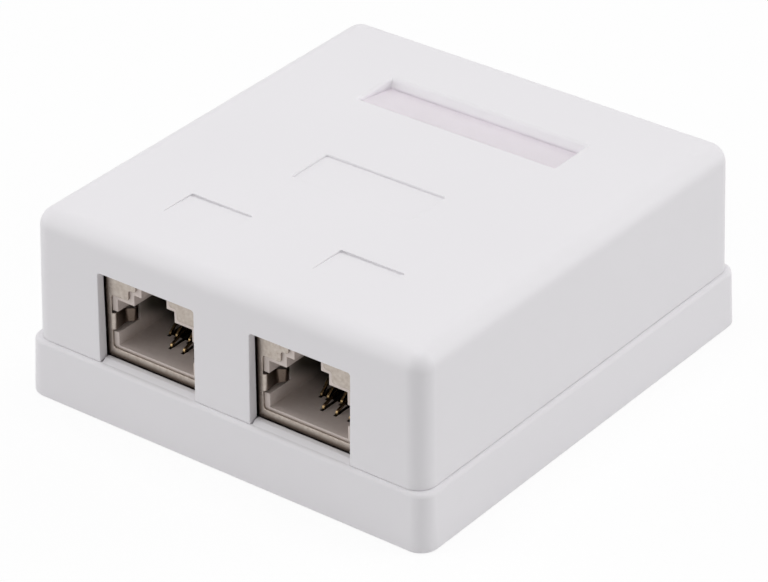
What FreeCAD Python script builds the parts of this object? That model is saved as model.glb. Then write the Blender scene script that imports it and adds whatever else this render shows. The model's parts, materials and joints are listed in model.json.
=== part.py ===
import FreeCAD, Part
import math
import os

# Two-port shielded surface mount jack box: a shallow moulded base, a lift-off
# moulded cover, a circuit board with two shielded jacks, punch-down strips and
# cable clamps.  All lengths are in millimetres.
#
# Frame: X runs along the front with the ports, Y runs from the front to the
# back, Z is up.  The origin is at the centre of the footprint, on the surface
# that the box stands on.

V = FreeCAD.Vector

# Moulded base
SEAM_HEIGHT = 8.2            # from the underside to the joint with the cover
BASE_DRAFT = 0.05            # lean of the outer walls, mm per mm of height
BASE_WALL = 2.1              # wall thickness at the joint
BASE_FLOOR = 2.0
BASE_CORNER = 2.6            # radius of the upright corners at the foot
BASE_EDGE_ROUND = 0.7        # round along the top outer edge
BASE_FOOT_BEVEL = 0.3
BASE_INNER_CORNER = 1.0
SILL_RISE = 0.45             # how far the sill under each port rises
SILL_PLAY = 0.15             # free space between a sill and the sides of its port

# Moulded cover
LEDGE_SIDE = 0.6             # how far the cover stands in from the base, sides
LEDGE_FRONT = 0.45           # the same at the front and the back
COVER_DRAFT = 0.021
COVER_WALL = 1.6
COVER_TOP = 1.8
COVER_CORNER = 2.6           # radius of the upright corners
COVER_TOP_ROUND = 2.6
COVER_RIM_BEVEL = 0.1
COVER_INNER_CORNER = 2.0
COVER_INNER_ROUND = 1.2
HEAD_ROOM = 2.6              # from the top of the jacks to the ceiling
TONGUE_DROP = 1.8            # how far the locating tongues reach into the base
TONGUE_THICKNESS = 1.0
TONGUE_PLAY = 0.1
TONGUE_SIDE_LENGTH = 44.0
TONGUE_REAR_LENGTH = 12.0
GRIP_RIB_WIDTH = 0.9
GRIP_RIB_PLAY = 0.02
GRIP_RIB_SPREAD = 0.8        # share of a tongue's half length
RIB_COUNT = 3

# Ports in the cover
PORT_PITCH = 23.9
PORT_LAP_SIDE = 0.7          # the cover laps over each side of a jack
PORT_LAP_TOP = 1.15
PORT_CORNER = 0.4
PORT_WALL = 1.45             # cover wall, thinned round the ports
JACK_FACE_PLAY = 0.1         # from the thinned wall to a jack
JACK_RELIEF_PLAY = 0.4       # from a jack to the sides and top of the thinned wall

# Recesses in the top
LABEL_WIDTH = 30.8
LABEL_OFFSET = 0.3           # to the right of the middle
LABEL_DEPTH = 6.6
LABEL_FROM_REAR = 12.7
LABEL_REAR_LEAN = 0.5        # how far the rear wall of the recess leans back
LABEL_SUNK = 1.05            # from the top to the rear edge of the window
LABEL_FRONT_SUNK = 0.12
WINDOW_THICKNESS = 0.3
WINDOW_PLAY = 0.05
CARD_THICKNESS = 0.2
LABEL_BED = 1.2              # plastic left under the card
PANEL_WIDTH = 18.6           # plain shallow panel in the middle of the top
PANEL_DEPTH = 7.1
PANEL_OFFSET = -3.85         # from the middle of the top, towards the front
PANEL_SUNK = 0.35
PORT_PANEL_WIDTH = 9.7       # plain shallow panel above each port
PORT_PANEL_DEPTH = 5.8
PORT_PANEL_PITCH = 23.4
PORT_PANEL_FROM_FRONT = 9.35
PORT_PANEL_SUNK = 0.32
PORT_PANEL_FRONT_SUNK = 0.04
PANEL_CORNER = 0.3

# Break-outs for the two cables in the rear wall of the cover
BREAKOUT_WIDTH = 8.0
BREAKOUT_HEIGHT = 8.4
BREAKOUT_SKIN = 0.6
BREAKOUT_GROOVE = 0.5
BREAKOUT_GROOVE_SUNK = 0.25

# Circuit board
BOARD_THICKNESS = 1.6
BOARD_BELOW_SEAM = 0.2       # the top of the board
BOARD_PLAY = 2.6             # from the front edge to the base
BOARD_SIDE_PLAY = 2.0
BOARD_CORNER = 1.0
PIN_HOLE_PLAY = 0.15         # free space round a pin in its square hole
TAB_HOLE_PLAY = 0.2
SIDE_ROOM = 8.725            # from the outer jack wall to the base wall

# Jack shield, folded from sheet
JACK_WIDTH = 16.65
JACK_HEIGHT = 14.1
JACK_LENGTH = 21.0
SHEET = 0.3
SHEET_BEND = 1.15            # outer radius of the folds round the mouth
SHEET_EDGE = 0.5             # outer radius of the long folds
SHIELD_LIP_SIDE = 1.625      # width of the folded lip beside the plug opening
SHIELD_LIP_BOTTOM = 2.0
SHIELD_FACE_GAP = 0.65       # the sheet stands back from the steps of the insert, sideways
SHIELD_FACE_RISE = 0.65      # and upwards
SHIELD_FACE_CORNER = 0.4
SHIELD_TAB_WIDTH = 1.6
SHIELD_TAB_DROP = 2.6
SHIELD_TAB_STATION = 14.0
SHIELD_FLOOR_LENGTH = 6.4    # closed floor behind the mouth
SHIELD_REAR_LIP = 1.4
SHIELD_FLOOR_RIM = 0.4       # sheet left beside the hole in the floor

# Spring fingers of the shield
FINGER_HEIGHT = 2.35
FINGER_TIP_HEIGHT = 1.5
FINGER_THICKNESS = 0.25
FINGER_RISE = 5.7            # middle of a finger above the underside of the jack
FINGER_RUN = 2.3             # from the mouth to where the leaf turns inwards
FINGER_CREST = 3.3           # from the mouth to the bend that touches the plug
FINGER_REACH = 4.15          # from the mouth to the tip
FINGER_PRESS = 0.7           # how far the crest stands into the plug opening
FINGER_STEP = 1.05           # from the straight run in to the crest
FINGER_LIP_BEND = 0.4
FINGER_BEND = 0.45
FINGER_RUN_BEND = 0.8

# Jack insert, moulded
INSERT_PLAY = 0.05
INSERT_SIDE_PLAY = 0.2
INSERT_FOOT_PLAY = 0.4       # from the foot of the insert to the hole in the shield's floor
PLUG_WIDTH = 11.9
PLUG_HEIGHT = 6.6
PLUG_FLOOR = 2.35            # from the underside of the jack
PLUG_LENGTH = 14.0
LATCH_WIDTH = 6.4
LATCH_HEIGHT = 1.55
KEY_WIDTH = 4.0
KEY_HEIGHT = 1.5
FINGER_POCKET_PLAY = 0.3
FINGER_POCKET_SKIN = 0.3     # insert wall left outside a finger
WELL_START = 6.3             # front edge of the contact well in the floor
WELL_DROP = 1.2
WELL_SIDE = 0.6              # from the last contact to the right side of the well
WELL_LEFT = 0.35             # from the second contact to its left side
COMB_LENGTH = 2.5
COMB_GAP = 1.2               # from the comb to the pins behind it
COMB_PLAY = 0.05
REAR_WALL = 1.2
SLOT_WIDTH = 0.42            # slots in the floor for the long contacts
SLOT_PLAY = 0.3              # from the front of a slot to the nose of its contact

# Contacts of a jack
CONTACT_COUNT = 8
CONTACT_PITCH = 1.02
LONG_CONTACTS = (3, 5, 7)    # counted from the left, the first one is 0
CONTACT_WIDTH = 0.3
CONTACT_THICKNESS = 0.25
CONTACT_LEG = 1.98           # height of the lower leg above the underside
CONTACT_BEND = 0.42
LONG_NOSE = 3.75             # from the mouth to the bend of a long contact
LONG_TILT = 16.0
LONG_END = 12.0
SHORT_NOSE = 6.0
SHORT_TILT = 38.0
SHORT_END = 9.2
FIRST_NOSE = 8.2             # the first contact stands furthest back
FIRST_END = 10.5
PIN_FROM_REAR = 2.8          # from the rear of the jack to the rear row of pins
PIN_ROW_PITCH = 2.0
PIN_DROP = 2.6               # from the board's top to the end of a pin

# Punch-down strips behind the jacks
STRIP_COUNT = 4
STRIP_PITCH = 3.7
STRIP_END = 2.3              # from the last wire slot to the end of the strip
STRIP_DEPTH = 5.6
STRIP_HEIGHT = 12.2
STRIP_SLOT = 1.2
STRIP_SLOT_DEPTH = 6.0
STRIP_LEAD_WIDTH = 2.2
STRIP_LEAD_DEPTH = 1.2
STRIP_GAP_FRONT = 2.8
STRIP_GAP = 3.2
BLADE_WIDTH = 2.4
BLADE_THICKNESS = 0.5
BLADE_TOP = 1.2              # from the top of the strip down to the blade
BLADE_FORK = 0.4
BLADE_FORK_DEPTH = 4.2
BLADE_FORK_LEAD = 1.3
BLADE_PIN = 0.6
BLADE_PLAY = 0.08

# Earthing plate and cable clamps
PLATE_THICKNESS = 0.4
PLATE_GAP = 7.0              # from the rear strips to the plate
PLATE_LAP = 5.1              # how far the plate lies on the board
PLATE_SIDE_PLAY = 3.0
PLATE_REAR_PLAY = 2.4
PLATE_NOTCH = 8.4            # lets the rear fixing screw pass
CLAMP_GAP = 3.7
CLAMP_WIDTH = 6.0
CLAMP_SHEET = 0.8
CLAMP_BORE = 6.4
CLAMP_ARCH = 6.6
CLAMP_FOOT_BEND = 0.6
CLAMP_FOOT_RIM = 0.4         # foot left outside a screw head
CABLE_FROM_SIDE = 15.5       # from the inside of a side wall to the middle of its cable
CLAMP_ROUNDNESS = 0.95       # 1 is a full half circle over the cable
REAR_ROOM = 3.49

# Screws
BOARD_SCREW_SHANK = 2.5
BOARD_SCREW_HEAD = 5.0
CLAMP_SCREW_SHANK = 2.2
CLAMP_SCREW_HEAD = 4.2
SCREW_HEAD_HEIGHT = 1.7
SCREW_GRIP = 4.0             # how far a shank reaches into its boss
SCREW_TIP_ROOM = 0.4
SCREW_HOLE_PLAY = 0.5        # added to a shank where it passes through a piece
SCREW_BORE_PLAY = 0.06       # added to a shank in its boss
SCREW_RECESS = 2.4
SCREW_RECESS_SLOT = 0.6
SCREW_RECESS_DEPTH = 1.0
SCREW_HEAD_BEVEL = 0.5
BOSS_WALL = 1.7
BOARD_SCREW_SIDE = 3.0       # from the board's side edge to a screw
BOARD_SCREW_FRONT = 4.4      # from the board's front edge to a front screw
BOARD_SCREW_REAR = 2.8       # from the board's rear edge to a rear screw

# Wall fixing holes in the base floor
FIXING_HOLE = 4.2
FIXING_HEAD_HOLE = 7.6       # opening in the board that lets the screw head pass
FIXING_FRONT = 9.6           # from the jacks' mouths to the front hole
FIXING_RIM = 1.6
FIXING_RIM_HEIGHT = 0.8

CUT = 1.0                    # how far a cutting solid reaches past the surface that it cuts

# Heights
board_top = SEAM_HEIGHT - BOARD_BELOW_SEAM
board_bottom = board_top - BOARD_THICKNESS
jack_bottom = board_top
jack_top = jack_bottom + JACK_HEIGHT
ceiling = jack_top + HEAD_ROOM
height = ceiling + COVER_TOP
plug_floor = jack_bottom + PLUG_FLOOR
plug_top = plug_floor + PLUG_HEIGHT
latch_top = plug_top + LATCH_HEIGHT
key_top = latch_top + KEY_HEIGHT
port_top = jack_top - PORT_LAP_TOP
plate_bottom = board_top
plate_top = plate_bottom + PLATE_THICKNESS

# Widths
port_x = PORT_PITCH / 2
inner_x = port_x + JACK_WIDTH / 2 + SIDE_ROOM
base_top_x = inner_x + BASE_WALL
base_x = base_top_x + BASE_DRAFT * SEAM_HEIGHT
cover_x = base_top_x - LEDGE_SIDE
port_half = JACK_WIDTH / 2 - PORT_LAP_SIDE
board_x = inner_x - BOARD_SIDE_PLAY

# Stations behind the mouths of the jacks
short_pin = JACK_LENGTH - PIN_FROM_REAR
long_pin = short_pin - PIN_ROW_PITCH
comb_end = long_pin - COMB_GAP
comb_start = comb_end - COMB_LENGTH
strip_front_station = JACK_LENGTH + STRIP_GAP_FRONT
strip_rear_station = strip_front_station + STRIP_DEPTH + STRIP_GAP
plate_station = strip_rear_station + STRIP_DEPTH + PLATE_GAP
board_rear_station = plate_station + PLATE_LAP
clamp_station = board_rear_station + CLAMP_GAP
inner_rear_station = clamp_station + CLAMP_WIDTH + REAR_ROOM

# Depths
jack_set_back = PORT_WALL + JACK_FACE_PLAY
base_y = (inner_rear_station + jack_set_back + LEDGE_FRONT + BASE_WALL) / 2 + BASE_DRAFT * SEAM_HEIGHT
base_top_y = base_y - BASE_DRAFT * SEAM_HEIGHT
inner_y = base_top_y - BASE_WALL
cover_y = base_top_y - LEDGE_FRONT
mouth_y = -cover_y + jack_set_back
board_front_y = -inner_y + BOARD_PLAY
board_rear_y = mouth_y + board_rear_station
clamp_y = mouth_y + clamp_station + CLAMP_WIDTH / 2
label_y = cover_y - LABEL_FROM_REAR - LABEL_DEPTH / 2
fixing_points = ((0.0, mouth_y + FIXING_FRONT), (0.0, clamp_y))
board_screw_x = board_x - BOARD_SCREW_SIDE
board_screw_front_y = board_front_y + BOARD_SCREW_FRONT
board_screw_rear_y = board_rear_y - BOARD_SCREW_REAR
cable_x = inner_x - CABLE_FROM_SIDE
clamp_screw_offset = CLAMP_BORE / 2 + CLAMP_SHEET + CLAMP_FOOT_BEND + CLAMP_SCREW_HEAD / 2
SIDES = (("left", -1), ("right", 1))


def box(x0, x1, y0, y1, z0, z1):
    return Part.makeBox(x1 - x0, y1 - y0, z1 - z0, V(x0, y0, z0))


def post(x, y, z0, z1, diameter):
    return Part.makeCylinder(diameter / 2, z1 - z0, V(x, y, z0))


def prism(points, direction):
    """Straight-sided solid from the corners of one face and the way it is extruded."""
    return Part.Face(Part.makePolygon(list(points) + [points[0]])).extrude(direction)


def drafted_block(half_x, half_y, radius, z0, z1, draft):
    """Block whose four walls and cone-shaped corners lean inwards by draft for each mm of height."""
    tall = z1 - z0
    lean = draft * tall
    core_x = half_x - radius
    core_y = half_y - radius
    along_x = prism([V(-half_x, -core_y, z0), V(half_x, -core_y, z0),
                     V(half_x - lean, -core_y, z1), V(lean - half_x, -core_y, z1)], V(0, 2 * core_y, 0))
    along_y = prism([V(-core_x, -half_y, z0), V(-core_x, half_y, z0),
                     V(-core_x, half_y - lean, z1), V(-core_x, lean - half_y, z1)], V(2 * core_x, 0, 0))
    corners = [Part.makeCone(radius, radius - lean, tall, V(sx * core_x, sy * core_y, z0))
               for sx in (-1, 1) for sy in (-1, 1)]
    return along_x.fuse([along_y] + corners).removeSplitter()


def leaning_walls(half_x, half_y, z0, z1, draft):
    """Block with sharp corners whose four walls lean inwards by draft for each mm of height."""
    lean = draft * (z1 - z0)
    along_x = prism([V(-half_x, -half_y, z0), V(half_x, -half_y, z0),
                     V(half_x - lean, -half_y, z1), V(lean - half_x, -half_y, z1)], V(0, 2 * half_y, 0))
    along_y = prism([V(-half_x, -half_y, z0), V(-half_x, half_y, z0),
                     V(-half_x, half_y - lean, z1), V(-half_x, lean - half_y, z1)], V(2 * half_x, 0, 0))
    return along_x.common(along_y)


def domed_block(half_x, half_y, corner, top_round, z0, z1, draft):
    """Leaning block whose upright corners and top edges are rounded in one step, so that they blend."""
    solid = leaning_walls(half_x, half_y, z0, z1, draft)
    document = FreeCAD.newDocument("rounding")
    sharp = document.addObject("Part::Feature", "sharp")
    sharp.Shape = solid
    rounded = document.addObject("Part::Fillet", "rounded")
    rounded.Base = sharp
    rounds = []
    for number, edge in enumerate(solid.Edges, 1):
        low, high = sorted(v.Z for v in edge.Vertexes)
        if high - low > 1e-6:
            rounds.append((number, corner, corner))
        elif abs(high - z1) < 1e-6:
            rounds.append((number, top_round, top_round))
    rounded.Edges = rounds
    document.recompute()
    shape = rounded.Shape.copy()
    FreeCAD.closeDocument(document.Name)
    return shape


def rounded_box(x0, x1, y0, y1, z0, z1, radius):
    """Box with round upright corners."""
    solid = box(x0, x1, y0, y1, z0, z1)
    upright = [e for e in solid.Edges if abs(e.Vertexes[0].Z - e.Vertexes[1].Z) > 1e-6]
    return solid.makeFillet(radius, upright)


def edges_at_height(solid, z):
    return [e for e in solid.Edges if all(abs(v.Z - z) < 1e-6 for v in e.Vertexes)]


def ribbon(path, radii, thickness, place, depth):
    """Bent strip of sheet or wire.

    path holds the corners of its middle line in a plane, radii the bend at each
    inner corner, or None where it is folded sharp, place turns a point of that
    plane into space, and depth is the vector that its section is extruded along.
    """
    points = [V(u, v, 0) for u, v in path]
    runs = [(b - a).normalize() for a, b in zip(points, points[1:])]
    sides = []
    for side in (1, -1):
        offset = side * thickness / 2
        edges = []
        start = points[0] + V(-runs[0].y, runs[0].x, 0) * offset
        for corner, radius, before, after in zip(points[1:-1], radii, runs, runs[1:]):
            if radius is None:
                across = V(-before.y - after.y, before.x + after.x, 0)
                mitre = corner + across * (offset / (1 + before.dot(after)))
                edges.append((start, mitre))
                start = mitre
                continue
            cross = before.x * after.y - before.y * after.x
            turn = math.atan2(cross, before.dot(after))
            reach = radius * math.tan(abs(turn) / 2)
            sense = 1 if turn > 0 else -1
            first = corner - before * reach
            centre = first + V(-before.y, before.x, 0) * (radius * sense)
            arc_radius = radius - sense * offset
            arc = []
            for share in (0, 0.5, 1):
                angle = turn * share
                out = V(before.y, -before.x, 0) * sense
                spun = V(out.x * math.cos(angle) - out.y * math.sin(angle),
                         out.x * math.sin(angle) + out.y * math.cos(angle), 0)
                arc.append(centre + spun * arc_radius)
            edges.append((start, arc[0]))
            edges.append(tuple(arc))
            start = arc[2]
        edges.append((start, points[-1] + V(-runs[-1].y, runs[-1].x, 0) * offset))
        sides.append(edges)
    left, right = sides
    outline = list(left)
    outline.append((left[-1][-1], right[-1][-1]))
    outline += [tuple(reversed(edge)) for edge in reversed(right)]
    outline.append((right[0][0], left[0][0]))
    shapes = []
    for edge in outline:
        spots = [place(p.x, p.y) for p in edge]
        if len(spots) == 3:
            shapes.append(Part.Arc(*spots).toShape())
        else:
            shapes.append(Part.LineSegment(*spots).toShape())
    return Part.Face(Part.Wire(shapes)).extrude(depth)


def moulded_base():
    solid = drafted_block(base_x, base_y, BASE_CORNER, 0, SEAM_HEIGHT, BASE_DRAFT)
    solid = solid.makeFillet(BASE_EDGE_ROUND, edges_at_height(solid, SEAM_HEIGHT))
    solid = solid.makeChamfer(BASE_FOOT_BEVEL, edges_at_height(solid, 0))
    tray = rounded_box(-inner_x, inner_x, -inner_y, inner_y, BASE_FLOOR, SEAM_HEIGHT + CUT, BASE_INNER_CORNER)
    solid = solid.cut(tray)
    added = [sill(sign * port_x) for _, sign in SIDES]
    bores = []
    bore_depth = SCREW_GRIP + SCREW_TIP_ROOM
    board_bore = BOARD_SCREW_SHANK + SCREW_BORE_PLAY
    for x, y, _ in board_screw_points():
        added.append(post(x, y, BASE_FLOOR / 2, board_bottom, board_bore + 2 * BOSS_WALL))
        bores.append(post(x, y, board_bottom - bore_depth, board_bottom + CUT, board_bore))
    clamp_bore = CLAMP_SCREW_SHANK + SCREW_BORE_PLAY
    for x, y in clamp_screw_points():
        added.append(post(x, y, BASE_FLOOR / 2, plate_bottom, clamp_bore + 2 * BOSS_WALL))
        bores.append(post(x, y, plate_bottom - bore_depth, plate_bottom + CUT, clamp_bore))
    for x, y in fixing_points:
        rim_top = BASE_FLOOR + FIXING_RIM_HEIGHT
        added.append(post(x, y, BASE_FLOOR / 2, rim_top, FIXING_HOLE + 2 * FIXING_RIM))
        bores.append(post(x, y, -CUT, rim_top + CUT, FIXING_HOLE))
    return solid.fuse(added).cut(bores).removeSplitter()


def sill(x):
    """Raised strip of the base that closes the foot of a port."""
    half = port_half - SILL_PLAY
    front = -cover_y + SILL_PLAY
    back = mouth_y
    crest = front + (back - front) / 2
    low = SEAM_HEIGHT - SILL_RISE
    profile = ((front, low), (front, SEAM_HEIGHT), (crest, SEAM_HEIGHT + SILL_RISE),
               (back, SEAM_HEIGHT + SILL_RISE), (back, low))
    return prism([V(x - half, y, z) for y, z in profile], V(2 * half, 0, 0))


def moulded_cover():
    solid = domed_block(cover_x, cover_y, COVER_CORNER, COVER_TOP_ROUND, SEAM_HEIGHT, height, COVER_DRAFT)
    solid = solid.makeChamfer(COVER_RIM_BEVEL, edges_at_height(solid, SEAM_HEIGHT))
    spread = COVER_DRAFT * CUT - COVER_WALL
    room = drafted_block(cover_x + spread, cover_y + spread, COVER_INNER_CORNER,
                         SEAM_HEIGHT - CUT, ceiling, COVER_DRAFT)
    room = room.makeFillet(COVER_INNER_ROUND, edges_at_height(room, ceiling))
    solid = solid.cut(room)
    added = tongues()
    added.append(label_bed())
    solid = solid.fuse(added)
    cuts = [label_pocket(), middle_panel()]
    for _, sign in SIDES:
        cuts += [port_hole(sign * port_x), port_relief(sign * port_x), port_panel(sign)]
        cuts += [breakout_pocket(sign * cable_x), breakout_groove(sign * cable_x)]
    return solid.cut(cuts).removeSplitter()


def tongues():
    """Upright ribs inside the rim that drop into the base and locate the cover."""
    low = SEAM_HEIGHT - TONGUE_DROP
    top = SEAM_HEIGHT + TONGUE_DROP
    lead = TONGUE_THICKNESS / 3
    root = COVER_WALL / 3
    face_x = inner_x - TONGUE_PLAY
    face_y = inner_y - TONGUE_PLAY

    def section(face, sign):
        back = face - TONGUE_THICKNESS
        wall = face + root
        rim = SEAM_HEIGHT + COVER_RIM_BEVEL
        corners = ((face, rim), (face, low + lead), (face - lead, low), (back, low),
                   (back, top), (wall, top + TONGUE_THICKNESS + root), (wall, rim))
        return [(sign * u, z) for u, z in corners]

    made = []
    half = TONGUE_SIDE_LENGTH / 2
    for _, sign in SIDES:
        made.append(prism([V(u, -half, z) for u, z in section(face_x, sign)], V(0, 2 * half, 0)))
        proud = TONGUE_PLAY - GRIP_RIB_PLAY
        near, far = sorted((sign * (face_x - lead), sign * (face_x + proud)))
        for index in range(RIB_COUNT):
            y = half * GRIP_RIB_SPREAD * (2 * index / (RIB_COUNT - 1) - 1)
            made.append(box(near, far, y - GRIP_RIB_WIDTH / 2, y + GRIP_RIB_WIDTH / 2,
                            low + lead, SEAM_HEIGHT))
    rear_half = TONGUE_REAR_LENGTH / 2
    made.append(prism([V(-rear_half, u, z) for u, z in section(face_y, 1)], V(2 * rear_half, 0, 0)))
    return made


def label_bed():
    """Thicker part of the top that carries the label card and its window."""
    half_x = LABEL_WIDTH / 2 + COVER_WALL
    half_y = LABEL_DEPTH / 2 + COVER_WALL
    bottom = height - LABEL_SUNK - WINDOW_THICKNESS - CARD_THICKNESS - LABEL_BED
    return box(LABEL_OFFSET - half_x, LABEL_OFFSET + half_x, label_y - half_y, label_y + half_y,
               bottom, ceiling + COVER_TOP / 2)


def label_layer(play, top, bottom):
    """Layer between two depths under the face of the label, which slopes down towards the rear."""
    half_x = LABEL_WIDTH / 2 - play
    half_y = LABEL_DEPTH / 2 - play
    outline = box(LABEL_OFFSET - half_x, LABEL_OFFSET + half_x, label_y - half_y, label_y + half_y,
                  height - LABEL_SUNK - bottom - CUT, height + CUT)
    front = label_y - LABEL_DEPTH / 2
    rear = label_y + LABEL_DEPTH / 2
    near = height - LABEL_FRONT_SUNK
    far = height - LABEL_SUNK
    profile = ((front, near - bottom), (rear, far - bottom), (rear, far - top), (front, near - top))
    wedge = prism([V(-LABEL_WIDTH, y, z) for y, z in profile], V(2 * LABEL_WIDTH, 0, 0))
    return outline.common(wedge)


def label_pocket():
    solid = label_layer(0, -LABEL_SUNK - CUT, WINDOW_THICKNESS + CARD_THICKNESS)
    rear = label_y + LABEL_DEPTH / 2
    foot = height - LABEL_SUNK
    lean = LABEL_REAR_LEAN * (LABEL_SUNK + CUT) / LABEL_SUNK
    profile = ((rear - LABEL_SUNK, foot), (rear, foot), (rear + lean, height + CUT), (rear - LABEL_SUNK, height + CUT))
    start = LABEL_OFFSET - LABEL_WIDTH / 2
    return solid.fuse(prism([V(start, y, z) for y, z in profile], V(LABEL_WIDTH, 0, 0)))


def middle_panel():
    half_x = PANEL_WIDTH / 2
    half_y = PANEL_DEPTH / 2
    return rounded_box(-half_x, half_x, PANEL_OFFSET - half_y, PANEL_OFFSET + half_y,
                       height - PANEL_SUNK, height + CUT, PANEL_CORNER)


def port_panel(sign):
    """Shallow panel above a port, deepest at its rear edge."""
    x = sign * PORT_PANEL_PITCH / 2
    front = -cover_y + PORT_PANEL_FROM_FRONT
    rear = front + PORT_PANEL_DEPTH
    outline = rounded_box(x - PORT_PANEL_WIDTH / 2, x + PORT_PANEL_WIDTH / 2, front, rear,
                          height - CUT, height + CUT, PANEL_CORNER)
    profile = ((front, height - PORT_PANEL_FRONT_SUNK), (rear, height - PORT_PANEL_SUNK),
               (rear, height + CUT), (front, height + CUT))
    wedge = prism([V(x - PORT_PANEL_WIDTH, y, z) for y, z in profile], V(2 * PORT_PANEL_WIDTH, 0, 0))
    return outline.common(wedge)


def port_hole(x):
    """Opening for a jack, open at the rim so that the cover lifts off over it."""
    rear = -cover_y + COVER_WALL + jack_set_back
    solid = box(x - port_half, x + port_half, -cover_y - CUT, rear, SEAM_HEIGHT - CUT, port_top)
    upper = [e for e in edges_at_height(solid, port_top) if abs(e.Vertexes[0].Y - e.Vertexes[1].Y) > 1e-6]
    return solid.makeFillet(PORT_CORNER, upper)


def port_relief(x):
    """Space in the front wall of the cover for the body of a jack."""
    half = JACK_WIDTH / 2 + JACK_RELIEF_PLAY
    face = -cover_y + PORT_WALL
    inside = -cover_y + COVER_WALL + CUT
    return box(x - half, x + half, face, inside, SEAM_HEIGHT - CUT, jack_top + JACK_RELIEF_PLAY)


def breakout_shape(x, grow, y0, y1):
    """Arched solid that stands on the rim of the cover, through the rear wall."""
    half = BREAKOUT_WIDTH / 2 + grow
    straight = SEAM_HEIGHT + BREAKOUT_HEIGHT - BREAKOUT_WIDTH / 2
    leg = box(x - half, x + half, y0, y1, SEAM_HEIGHT - CUT, straight)
    arch = Part.makeCylinder(half, y1 - y0, V(x, y0, straight), V(0, 1, 0))
    return leg.fuse(arch)


def breakout_pocket(x):
    outer_face = cover_y - COVER_DRAFT * BREAKOUT_HEIGHT
    return breakout_shape(x, 0, cover_y - COVER_WALL - CUT, outer_face - BREAKOUT_SKIN)


def breakout_groove(x):
    sunk = cover_y - BREAKOUT_GROOVE_SUNK - COVER_DRAFT * BREAKOUT_HEIGHT
    outer = breakout_shape(x, BREAKOUT_GROOVE, sunk, cover_y + CUT)
    return outer.cut(breakout_shape(x, 0, sunk - CUT, cover_y + 2 * CUT))


def label_window():
    return label_layer(WINDOW_PLAY, 0, WINDOW_THICKNESS)


def label_card():
    return label_layer(2 * WINDOW_PLAY, WINDOW_THICKNESS, WINDOW_THICKNESS + CARD_THICKNESS)


def mouth_outline(x, y0, y1):
    """Stepped opening for a plug with its latch up."""
    solid = box(x - PLUG_WIDTH / 2, x + PLUG_WIDTH / 2, y0, y1, plug_floor, plug_top)
    latch = box(x - LATCH_WIDTH / 2, x + LATCH_WIDTH / 2, y0, y1, plug_floor, latch_top)
    key = box(x - KEY_WIDTH / 2, x + KEY_WIDTH / 2, y0, y1, plug_floor, key_top)
    return solid.fuse([latch, key]).removeSplitter()


def long_edges(solid):
    """Edges that run front to back."""
    return [e for e in solid.Edges if abs(e.Vertexes[0].Y - e.Vertexes[-1].Y) > 1e-6]


def edges_in_front(solid, y):
    """Edges round the face that looks forward."""
    return [e for e in solid.Edges if all(abs(v.Y - y) < 1e-6 for v in e.Vertexes)]


def shield_mouth(x):
    """Opening in the folded face of the shield, wider than the plug's own."""
    y0 = mouth_y - CUT
    y1 = mouth_y + SHEET + INSERT_PLAY
    half = JACK_WIDTH / 2 - SHIELD_LIP_SIDE
    low = jack_bottom + SHIELD_LIP_BOTTOM
    solid = box(x - half, x + half, y0, y1, low, plug_top + SHIELD_FACE_RISE)
    for width, top in ((LATCH_WIDTH, latch_top), (KEY_WIDTH, key_top)):
        reach = width / 2 + SHIELD_FACE_GAP
        solid = solid.fuse(box(x - reach, x + reach, y0, y1, low, top + SHIELD_FACE_RISE))
    solid = solid.removeSplitter()
    return solid.makeFillet(SHIELD_FACE_CORNER, long_edges(solid))


def folded_can(x, inset, bend, edge):
    """Closed can with rounded folds, made smaller by inset on every side."""
    solid = box(x - JACK_WIDTH / 2 + inset, x + JACK_WIDTH / 2 - inset, mouth_y + inset,
                mouth_y + JACK_LENGTH - inset, jack_bottom + inset, jack_top - inset)
    solid = solid.makeFillet(edge, long_edges(solid))
    return solid.makeFillet(bend, edges_in_front(solid, mouth_y + inset))


def spring_finger(x, sign):
    """Leaf folded in from the lip beside the plug opening."""
    lip = JACK_WIDTH / 2 - SHIELD_LIP_SIDE
    crest = PLUG_WIDTH / 2 - FINGER_PRESS + FINGER_THICKNESS / 2
    run = crest + FINGER_STEP
    tip = PLUG_WIDTH / 2 + FINGER_THICKNESS
    path = ((lip + SHEET, SHEET / 2), (run, SHEET / 2), (run, FINGER_RUN),
            (crest, FINGER_CREST), (tip, FINGER_REACH))
    low = jack_bottom + FINGER_RISE - FINGER_HEIGHT / 2
    strip = ribbon(path, (FINGER_LIP_BEND, FINGER_RUN_BEND, FINGER_BEND), FINGER_THICKNESS,
                   lambda u, v: V(x + sign * u, mouth_y + v, low), V(0, 0, FINGER_HEIGHT))
    middle = jack_bottom + FINGER_RISE
    root = FINGER_HEIGHT / 2
    end = FINGER_TIP_HEIGHT / 2
    rear = FINGER_REACH + FINGER_THICKNESS
    profile = ((-CUT, -root), (FINGER_LIP_BEND, -root), (rear, -end),
               (rear, end), (FINGER_LIP_BEND, root), (-CUT, root))
    taper = prism([V(x - JACK_WIDTH, mouth_y + s, middle + h) for s, h in profile], V(2 * JACK_WIDTH, 0, 0))
    return strip.common(taper)


def shield_tab(x, sign, grow):
    """Earthing tab of the shield, or its hole in the board where grow is more than nothing."""
    outer = x + sign * (JACK_WIDTH / 2 + grow)
    inner = x + sign * (JACK_WIDTH / 2 - SHEET - grow)
    y = mouth_y + SHIELD_TAB_STATION
    half = SHIELD_TAB_WIDTH / 2 + grow
    low = jack_bottom - SHIELD_TAB_DROP - grow
    return box(min(outer, inner), max(outer, inner), y - half, y + half, low, jack_bottom + SHIELD_TAB_WIDTH)


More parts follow.
